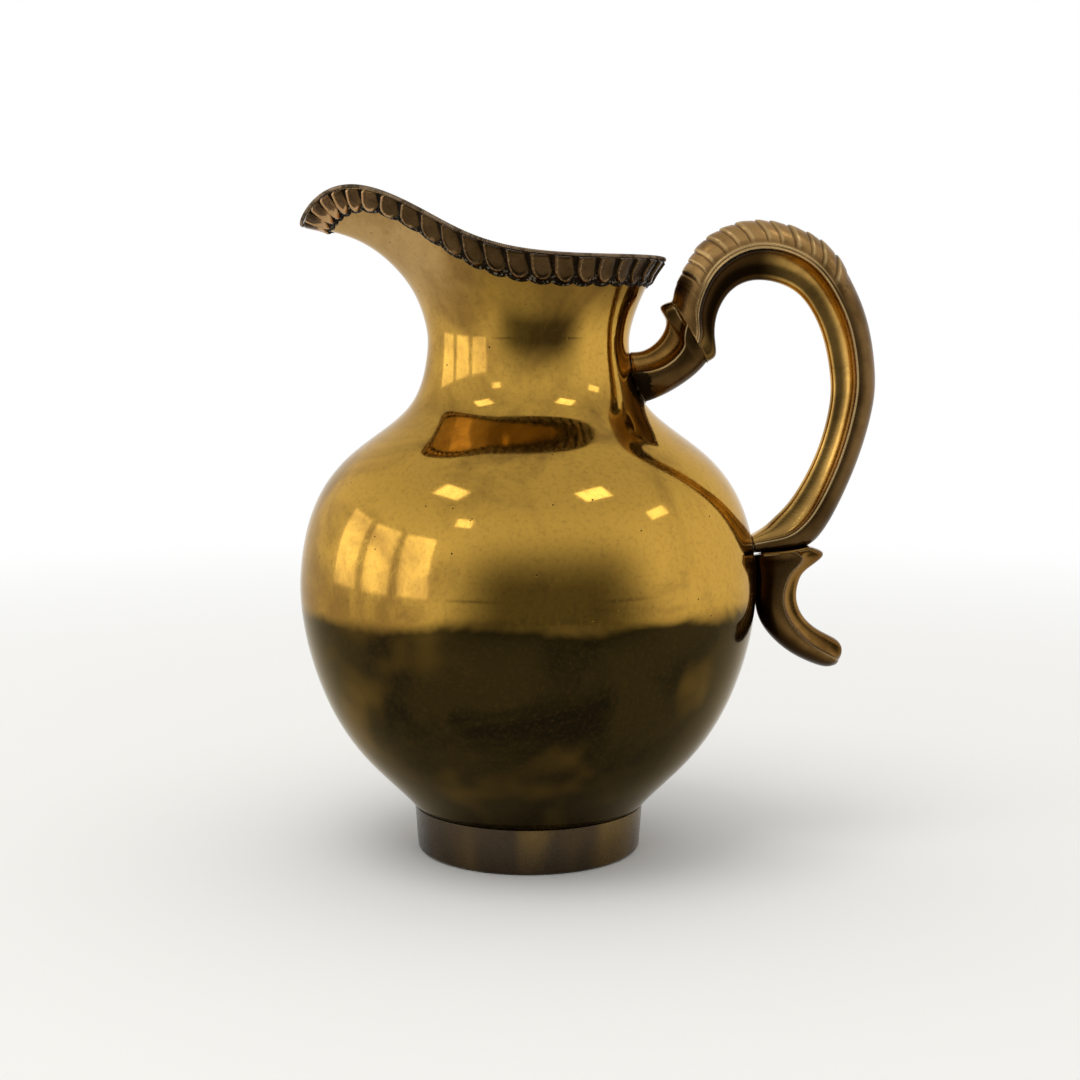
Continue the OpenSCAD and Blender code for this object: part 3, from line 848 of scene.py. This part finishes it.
def add_node(tree, kind, settings, sockets):
    """Adds a node with its settings, and sets or links its sockets, which are given by name or
    number, or as a tuple in their order. For a MapRange that is the value, the span it comes
    from and the span it goes to. A colour is given in hex. A node given as a value is linked by
    its first output in use."""
    node = tree.nodes.new("ShaderNode" + kind)
    for key, value in settings.items():
        setattr(node, key, value)
    for key, value in (enumerate(sockets) if isinstance(sockets, tuple) else sockets.items()):
        if isinstance(value, bpy.types.Node):
            value = next(output for output in value.outputs if output.enabled)
        if isinstance(value, bpy.types.NodeSocket):
            tree.links.new(value, node.inputs[key])
        else:
            node.inputs[key].default_value = linear(value) if isinstance(value, str) else value
    return node


def per(size):
    """Texture scale at which one feature is this many metres wide."""
    return 1 / size


def node_adder(owner):
    """Clears a material or a world, and gives the function that adds a node to it."""
    owner.use_nodes = True
    owner.node_tree.nodes.clear()
    return functools.partial(add_node, owner.node_tree)


def new_material(name):
    material = bpy.data.materials.new(name)
    add = node_adder(material)
    return material, add, add("TexCoord", {}, {}).outputs["Object"]


def finish_metal(add, colour, rough, more):
    shader = add("BsdfPrincipled", {}, {"Base Color": colour, "Metallic": 1.0, "Roughness": rough,
                                        **more})
    add("OutputMaterial", {}, {"Surface": shader})


def vertex_marks(add, keys):
    """The named values that a piece's mesh carries at its vertices."""
    return {key: add("Attribute", {"attribute_name": key}, {}).outputs["Fac"] for key in keys}


def blotches(add, coords, size, look, edge, most=1.0):
    """Soft-edged blotches about as wide as size: the noise that they come from, and their mask,
    which rises to most between the two noise levels of edge."""
    cloud = add("TexNoise", {}, {"Vector": coords, "Scale": per(size), **look})
    mask = add("MapRange", soft, (cloud, *edge, 0, most))
    return cloud, mask


def brass_material(name, gold, brown, reflection_gold, reflection_brown, polish, spread):
    """Aged brass sheet, polished: clear reflections, brown mottling, dark pits and fine scratches.
    Below the widest line a darker olive tone is painted in as the reflection of a dark surface
    below, with painted golden highlights in places."""
    material, add, coords = new_material(name)
    cloud, patch = blotches(add, coords, 38 * MM,
                            {"Detail": 4.0, "Roughness": 0.6, "Distortion": 0.6}, (0.42, 0.7))
    mottle, speck = blotches(add, coords, 1.4 * MM, {"Detail": 4.0, "Roughness": 0.7}, (0.45, 0.85),
                             spread)
    # Painted golden highlights, as blotches in the painted dark reflection below the widest line
    shifted = add("Mapping", {}, {"Vector": coords, "Location": (0.31, 0.12, 0.07)})
    _, rubbed = blotches(add, shifted, 30 * MM, {"Detail": 2.0}, (0.52, 0.72), 0.38)
    # The second of these colours is the painted dark reflection below the widest line
    fresh, old, film = [add("Mix", colours, {0: patch, 6: pale, 7: dark})
                        for pale, dark in ((gold, brown), (reflection_gold, reflection_brown),
                                           ("#a98b63", "#8c6a3e"))]
    low = add("Mix", colours, {0: rubbed, 6: old, 7: "#7d5f27"})
    # The edges of the painted dark reflection and of the darker brown on the neck wander up and
    # down by some 3 mm
    place_on = add("SeparateXYZ", {}, {0: coords})
    wander = add("Math", times_plus, (cloud, 14 * MM, -7 * MM))
    height = add("Math", plus, (place_on.outputs["Z"], wander))
    # Painted dark reflection, fading out upwards just under the widest line
    painted_reflection = add("MapRange", soft, (height, reflection_full, reflection_none, 1, 0))
    rising = add("MapRange", soft, (height, *neck_darker_z, 0, 0.75))
    behind = add("MapRange", soft, (place_on.outputs["X"], *neck_darker_x))
    on_neck = add("Math", times, (rising, behind))
    on_spout = add("Math", minus, (rising, on_neck))
    # Pits are about 0.5 mm across and stand some 5 mm apart
    pits = add("TexVoronoi", {"feature": "F1"}, {"Vector": coords, "Scale": per(5 * MM),
                                                 "Randomness": 1.0})
    hole = add("MapRange", soft, (pits, 0.035, 0.075, 1, 0))
    chance = add("SeparateColor", {}, {0: pits.outputs["Color"]})
    half = add("Math", {"operation": "GREATER_THAN"}, (chance, 0.5))
    pit = add("Math", times, (hole, half))
    # The painted dark reflection goes below the widest line, darker brown on the neck and a tan
    # film on the spout
    colour = fresh
    for mask, over in ((painted_reflection, low), (on_neck, "#553d18"), (on_spout, film),
                       (speck, "#4f3c1c"), (pit, "#241c0e")):
        colour = add("Mix", colours, {0: mask, 6: colour, 7: over})
    # Scratches are drawn about 0.15 mm wide, coarser than real ones, so that they show
    scratches = []
    for turn, long_way in ((0.5, 26 * MM), (-0.9, 34 * MM)):
        stretched = add("Mapping", {"vector_type": "POINT"},
                        {"Vector": coords, "Rotation": (0.3 * turn, turn, 0.2),
                         "Scale": (per(2.2 * MM), per(2.2 * MM), per(long_way))})
        cells = add("TexVoronoi", {"feature": "DISTANCE_TO_EDGE"},
                    {"Vector": stretched, "Scale": 1.0})
        scratches.append(add("MapRange", {}, (cells, 0, 0.03, 1, 0)))
    both = add("Math", {"operation": "MAXIMUM"}, tuple(scratches))
    worn = add("Math", times, (both, cloud))
    rough_patch = add("MapRange", {}, (cloud, 0.35, 0.75, polish, polish + 0.07))
    rough_scratch = add("Math", times_plus, (worn, 0.2, rough_patch))
    rough = add("Math", times_plus, (pit, 0.4, rough_scratch))
    # The sheet is a little wavy from planishing, finely grained and pitted
    wave = add("TexNoise", {}, {"Vector": coords, "Scale": per(30 * MM), "Detail": 1.0})
    waved = add("Bump", {}, {"Strength": 0.35, "Distance": 0.5 * MM, "Height": wave})
    grain = add("Bump", {}, {"Strength": 0.05, "Distance": 0.05 * MM, "Height": mottle,
                             "Normal": waved})
    dented = add("Bump", {"invert": True}, {"Strength": 0.6, "Distance": 0.08 * MM, "Height": pit,
                                            "Normal": grain})
    finish_metal(add, colour, rough, {"Specular Tint": edge_tint, "Normal": dented})
    return material


def foot_material():
    """Tarnished brass: a grey-brown film over a dull polish, with golden streaks up and down
    painted in as highlights.
    """
    material, add, coords = new_material("tarnished_foot_brass")
    # Painted highlights: golden streaks, stretched up and down, over the grey-brown film
    highlight_streaks = add("Mapping", {}, {"Vector": coords, "Scale": (1.0, 1.0, 0.25)})
    _, patch = blotches(add, highlight_streaks, 24 * MM, {"Detail": 2.0, "Roughness": 0.5}, (0.4, 0.66))
    grime, dark = blotches(add, coords, 2.5 * MM, {"Detail": 5.0, "Roughness": 0.7}, (0.52, 0.8),
                           0.45)
    base = add("Mix", colours, {0: patch, 6: "#463b2e", 7: "#6d5835"})
    colour = add("Mix", colours, {0: dark, 6: base, 7: "#33291d"})
    rough = add("MapRange", {}, (grime, 0.3, 0.7, 0.2, 0.34))
    bump = add("Bump", {}, {"Strength": 0.15, "Distance": 0.08 * MM, "Height": grime})
    finish_metal(add, colour, rough, {"Normal": bump})
    return material


def border_material():
    """Cast brass: brown satin tongues with painted highlights on the curls, very dark grooves and
    painted shade, and grey grains.
    """
    material, add, coords = new_material("blackened_cast_brass")
    marks = vertex_marks(add, ("black", "rubbed", "grit", "old"))
    _, patch = blotches(add, coords, 9 * MM, {"Detail": 3.0, "Roughness": 0.6}, (0.35, 0.65))
    grain = add("TexNoise", {}, {"Vector": coords, "Scale": per(0.7 * MM), "Detail": 3.0,
                                 "Roughness": 0.7})
    # The grain frays the edges of the painted highlights and of the dark grooves and painted shade
    frayed = []
    for key, fray, start, full, most in (("rubbed", 0.7, 0.25, 0.75, 0.85),
                                         ("black", 0.5, 0.3, 0.8, 1.0)):
        ragged = add("Math", times_plus, (grain, fray, -fray / 2))
        edge = add("Math", plus, (marks[key], ragged))
        frayed.append(add("MapRange", soft, (edge, start, full, 0, most)))
    bright, groove = frayed
    old = add("Math", times, (marks["old"], 0.7))
    fine = add("TexNoise", {}, {"Vector": coords, "Scale": per(0.9 * MM), "Detail": 1.0})
    dots = add("MapRange", {}, (fine, 0.56, 0.64))
    grains = add("Math", times, (marks["grit"], dots))
    colour = add("Mix", colours, {0: patch, 6: "#4a371f", 7: "#75583a"})
    # Darker further back, very dark in the grooves and painted shade, pale for the painted
    # highlights, grey grains
    for mask, over in ((old, "#3b2c16"), (groove, "#17120c"), (bright, "#bd9668"),
                       (grains, "#6f6758")):
        colour = add("Mix", colours, {0: mask, 6: colour, 7: over})
    rough = add("MapRange", {}, (groove, 0, 1, 0.27, 0.6))
    bump = add("Bump", {}, {"Strength": 0.35, "Distance": 0.08 * MM, "Height": grain})
    finish_metal(add, colour, rough, {"Normal": bump})
    return material


def wire_material():
    """Milled brass wire: satin, with dirt between the beads."""
    material, add, coords = new_material("milled_brass_wire")
    _, dirt = blotches(add, coords, 5 * MM, {"Detail": 6.0, "Roughness": 0.8}, (0.42, 0.62))
    colour = add("Mix", colours, {0: dirt, 6: "#85715a", 7: "#463a2a"})
    rough = add("MapRange", {}, (dirt, 0, 1, 0.3, 0.5))
    finish_metal(add, colour, rough, {})
    return material


def handle_material(name, crown, crown_dark, cove_gold, cove_brown, polish):
    """Cast brass, hand-finished: satin crown, golden filed cove, painted highlights on lines and
    edges, painted shade in the slots and on the shaded sides, a darker tone in places, soot.
    """
    material, add, coords = new_material(name)
    marks = vertex_marks(add, ("cove", "groove", "rubbed", "soot", "tarnish"))
    _, patch = blotches(add, coords, 16 * MM, {"Detail": 4.0, "Roughness": 0.6}, (0.36, 0.64))
    crown_tone, cove_tone = [add("Mix", colours, {0: patch, 6: dark, 7: pale})
                             for dark, pale in ((crown_dark, crown), (cove_brown, cove_gold))]
    highlight_mark = add("Math", times, (marks["rubbed"], 0.7))
    # Soot has a blotched edge, and stays where its mark is
    blot = add("TexNoise", {}, {"Vector": coords, "Scale": per(5 * MM), "Detail": 5.0,
                                "Roughness": 0.7})
    reach = add("Math", times_plus, (marks["soot"], 0.45, blot))
    sooty = add("MapRange", soft, (reach, 0.7, 0.82, 0, 0.9))
    near = add("Math", {**times, "use_clamp": True}, (marks["soot"], 3.0))
    soot = add("Math", times, (sooty, near))
    colour = add("Mix", colours, {0: marks["cove"], 6: crown_tone, 7: cove_tone})
    # Painted shade and a darker tone in dark brown, painted highlights pale, painted shade in the
    # slots, soot very dark
    for mask, over in ((marks["tarnish"], "#35240f"), (highlight_mark, "#e0c48c"),
                       (marks["groove"], "#2e2012"), (soot, "#15110c")):
        colour = add("Mix", colours, {0: mask, 6: colour, 7: over})
    # File marks run across the cove, drawn about 0.5 mm apart
    flat = add("UVMap", {"uv_map": "flat"}, {})
    across = add("Mapping", {}, {"Vector": flat, "Scale": (460.0, 14.0, 1.0)})
    filing = add("TexNoise", {}, {"Vector": across, "Scale": 1.0, "Detail": 2.0})
    filed = add("Math", times, (filing, marks["cove"]))
    grain = add("TexNoise", {}, {"Vector": coords, "Scale": per(0.9 * MM), "Detail": 4.0,
                                 "Roughness": 0.7})
    rough_patch = add("MapRange", {}, (grain, 0.3, 0.7, polish, polish + 0.1))
    rough_part = add("Math", times_plus, (marks["cove"], -0.1, rough_patch))
    rough = add("Math", times_plus, (soot, 0.3, rough_part))
    cast = add("Bump", {}, {"Strength": 0.12, "Distance": 0.05 * MM, "Height": grain})
    bump = add("Bump", {}, {"Strength": 0.35, "Distance": 0.1 * MM, "Height": filed,
                            "Normal": cast})
    finish_metal(add, colour, rough, {"Normal": bump})
    return material


def solder_material():
    """Old soft solder: dark grey, rough and lumpy, with dull metal showing."""
    material, add, coords = new_material("old_soft_solder")
    lumps = add("TexNoise", {}, {"Vector": coords, "Scale": per(1.5 * MM), "Detail": 5.0,
                                 "Roughness": 0.7})
    colour = add("Mix", colours, {0: lumps, 6: "#332c22", 7: "#857a68"})
    bump = add("Bump", {}, {"Strength": 0.6, "Distance": 0.25 * MM, "Height": lumps})
    finish_metal(add, colour, 0.48, {"Metallic": 0.8, "Normal": bump})
    return material


# Object
# The third and fourth colours of each brass are the painted dark reflection below the widest line
make_vessel(
    brass_material("polished_aged_brass", "#c69a42", "#8f6b30", "#312711", "#1b150a", 0.045, 0.4),
    brass_material("dull_inside_brass", "#977740", "#7a6136", "#5c4a28", "#453820", 0.2, 0.6))
make_foot(foot_material())
cast_border = border_material()
make_border(1, "border_casting_near", cast_border, "rim_border_near")
make_border(-1, "border_casting_far", cast_border, "rim_border_far")
make_wire(wire_material())
cast_arch = handle_material("tan_cast_brass", "#ab8552", "#806036", "#cfa356", "#9d7a40", 0.25)
cast_dark = handle_material("brown_cast_brass", "#8d6b3c", "#5d4523", "#9c743a", "#7a5729", 0.19)
arch_steps = np.concatenate([np.linspace(0, lobes_from, 40),
                             np.linspace(lobes_from, lobes_to, 391)[1:],
                             np.linspace(lobes_to, len(arch_shares) - 1, 150)[1:]])
make_casting("handle_arch_casting", ["handle_arch"], arch_shares, arch_steps, cast_arch,
             lobed=True, last=True, lines=2, knot=arch_knot, tarnish=arch_darkening)
make_casting("handle_bracket_casting", ["handle_bracket"], bracket_shares, 160, cast_dark,
             first=True, lines=1, soot=bracket_soot, tarnish=bracket_darkening, horn_rim=0.4)
make_casting("handle_tail_casting", ["handle_tail"], tail_shares, 140, cast_dark,
             tarnish=tail_darkening)
make_casting("collar_braze", [], braze_shares, 40, cast_dark)
solder = solder_material()
for node, name, draw_in in (("bracket_solder", "bracket_solder_bead", 0.2),
                            ("arch_solder", "arch_solder_film", 0),
                            ("tail_solder", "tail_solder_film", 0)):
    make_solder(node, name, solder, draw_in)
nodes["foot_solder"].data.materials.clear()
nodes["foot_solder"].data.materials.append(solder)


# Stage
middle_height = 0.11
floor_half = 4.0
# Near the pitcher the floor is matt and takes its shadow; far away it is plain white
floor_white = (0.25, 1.1)
# The dim end of the studio: its direction, how far it spreads about that as cosines, how it
# fades out upwards as shares of its radius, and where the floor grows dim towards it
studio_r = 2.2
dim_centre = (0.2, -0.98, 0)
dim_spread = (0.5, 0.95)
dim_height = (0.1, 0.75)
dim_floor = (0.15, 0.5)
dim_level = 0.12
# The walls are white, and a little dimmer overhead; the floor is lit at a lower level
overhead = (0.25, 0.95)
overhead_level = 0.68
room_light = 0.86
# Full frame camera, a little above the pitcher's middle and tipped down to it
lens_mm = 55.08
camera_place = (0.003967, -0.565, 0.16492)
camera_tilt = 84.113


def staged(bm, name):
    """A thing of the stage, made from a bmesh."""
    thing = placed(name, bm)
    return thing


def looking(add):
    """1 for rays from the camera, in gloss and through glass; and the light path node."""
    path = add("LightPath", {}, {})
    seen = add("Math", plus, (path.outputs["Is Camera Ray"], path.outputs["Is Glossy Ray"]))
    seen = add("Math", {**plus, "use_clamp": True}, (seen, path.outputs["Is Transmission Ray"]))
    return seen, path


def towards_dim_end(add, coords):
    """How far a place lies towards the dim end, 0 to 1, and its direction from the pitcher."""
    direction = add("VectorMath", {"operation": "NORMALIZE"}, {0: coords})
    facing = add("VectorMath", {"operation": "DOT_PRODUCT"}, (direction, dim_centre))
    wide = add("MapRange", soft, (facing, *dim_spread))
    return wide, direction


def seen_in_polish(thing, material, add, cover, level):
    """Makes a thing glow evenly where cover is 1 and clear where it is 0, for the polish only."""
    glow = add("Emission", {}, {"Strength": level})
    clear = add("BsdfTransparent", {}, {})
    blend = add("MixShader", {}, (cover, clear, glow))
    add("OutputMaterial", {}, {"Surface": blend})
    thing.data.materials.append(material)
    thing.visible_camera = False
    thing.visible_diffuse = False
    thing.visible_shadow = False


def make_floor():
    floor = staged(new_grid(1, 1, floor_half), "floor")
    material, add, coords = new_material("pale_floor")
    distance = add("VectorMath", {"operation": "LENGTH"}, {0: coords})
    far, away = [add("MapRange", soft, (distance, *span)) for span in (floor_white, dim_floor)]
    seen, path = looking(add)
    whitened = add("Math", times, (far, seen))
    matt = add("BsdfDiffuse", {}, {"Color": "#f3f2ee"})
    white = add("Emission", {}, {"Strength": 1.0})
    plain = add("MixShader", {}, (whitened, matt, white))
    # The polish sees the floor grow dim towards the studio's dim end
    wide, _ = towards_dim_end(add, coords)
    dim_there = add("Math", times, (wide, away))
    dim_seen = add("Math", times, (dim_there, path.outputs["Is Glossy Ray"]))
    dim = add("Emission", {}, {"Strength": dim_level})
    whole = add("MixShader", {}, (dim_seen, plain, dim))
    add("OutputMaterial", {}, {"Surface": whole})
    floor.data.materials.append(material)


def make_world():
    world = bpy.data.worlds.new("studio")
    add = node_adder(world)
    direction = add("TexCoord", {}, {}).outputs["Generated"]
    height = add("SeparateXYZ", {}, {0: direction}).outputs["Z"]
    shown = add("MapRange", soft, (height, *overhead, 1, overhead_level))
    seen, _ = looking(add)
    strength = add("Mix", {"data_type": "FLOAT"}, {0: seen, 2: room_light, 3: shown})
    background = add("Background", {}, {"Color": (1, 1, 1, 1), "Strength": strength})
    add("OutputWorld", {}, {"Surface": background})
    bpy.context.scene.world = world


def direction_to(azimuth, elevation, distance):
    """A place round the pitcher: azimuth from the camera's side towards +x, both in degrees."""
    a, e = math.radians(azimuth), math.radians(elevation)
    return (distance * math.cos(e) * math.sin(a), -distance * math.cos(e) * math.cos(a),
            middle_height + distance * math.sin(e))


def aimed(place):
    """Matrix at a place, with -z pointing at the middle of the pitcher."""
    direction = Vector((0, 0, middle_height)) - Vector(place)
    return Matrix.Translation(place) @ direction.to_track_quat("-Z", "Y").to_matrix().to_4x4()


def make_shadow_box(place, side, radiance):
    """A square lamp that only gives the shadow. Its power follows from how bright its face is."""
    data = bpy.data.lights.new("shadow_box", "AREA")
    data.shape = "RECTANGLE"
    data.size = data.size_y = side
    data.energy = radiance * math.pi * side ** 2
    lamp = placed("shadow_box", data)
    lamp.matrix_world = aimed(place)
    lamp.visible_camera = False
    lamp.visible_glossy = False


def card(name, place, size, level, fade):
    """A bright card with soft edges, seen only in the polish, as the highlight of a window pane
    or a soft lamp. fade is the share of its half width that fades out."""
    bm = new_grid(1, 1, 0.5)
    bmesh.ops.scale(bm, vec=(size[0], size[1], 1), verts=bm.verts)
    bmesh.ops.transform(bm, matrix=aimed(place), verts=bm.verts)
    face = staged(bm, name)
    material, add, _ = new_material(name + "_paint")
    flat = add("UVMap", {"uv_map": "flat"}, {})
    across = add("SeparateXYZ", {}, {0: flat})
    edges = []
    for axis in ("X", "Y"):
        side = add("Math", minus, (across.outputs[axis], 0.5))
        off = add("Math", {"operation": "ABSOLUTE"}, {0: side})
        edges.append(add("MapRange", soft, (off, 0.5 - 0.5 * fade, 0.5, 1, 0)))
    cover = add("Math", times, tuple(edges))
    seen_in_polish(face, material, add, cover, level)


def make_studio_end():
    """The dim end of the studio behind the camera. It fades out all round, is seen only in the
    polish, and gives the metal its depth."""
    bm = bmesh.new()
    bmesh.ops.create_uvsphere(bm, u_segments=48, v_segments=24, radius=studio_r)
    end = staged(bm, "studio_end")
    material, add, coords = new_material("studio_end_paint")
    wide, direction = towards_dim_end(add, coords)
    height = add("SeparateXYZ", {}, {0: direction}).outputs["Z"]
    above = add("MapRange", soft, (height, *dim_height, 1, 0))
    cover = add("Math", times, (wide, above))
    seen_in_polish(end, material, add, cover, dim_level)


def make_camera():
    data = bpy.data.cameras.new("camera")
    data.lens = lens_mm
    data.sensor_width = 36
    data.sensor_fit = "HORIZONTAL"
    camera = placed("camera", data)
    camera.location = camera_place
    camera.rotation_euler = (math.radians(camera_tilt), 0, 0)
    bpy.context.scene.camera = camera


make_floor()
make_world()
make_shadow_box(direction_to(-35, 65, 1.4), 0.8, 2.4)
for azimuth, pane in ((-100, "window_pane_left"), (-78, "window_pane_middle"),
                      (-56, "window_pane_right")):
    card(pane, direction_to(azimuth, 11, 1.6), (0.5, 0.8), 2.2, 0.12)
for name, azimuth, elevation, size, level in (
        ("left_top_lamp", -62, 56, (0.34, 0.22), 3),
        ("right_top_lamp", 53, 57, (0.34, 0.22), 3),
        ("left_front_lamp", -36, 36, (0.2, 0.14), 2.6),
        ("right_side_lamp", 79, 33, (0.3, 0.14), 2.6)):
    card(name, direction_to(azimuth, elevation, 1.3), size, level, 0.25)
make_studio_end()
make_camera()
bpy.context.scene.view_settings.view_transform = "Standard"
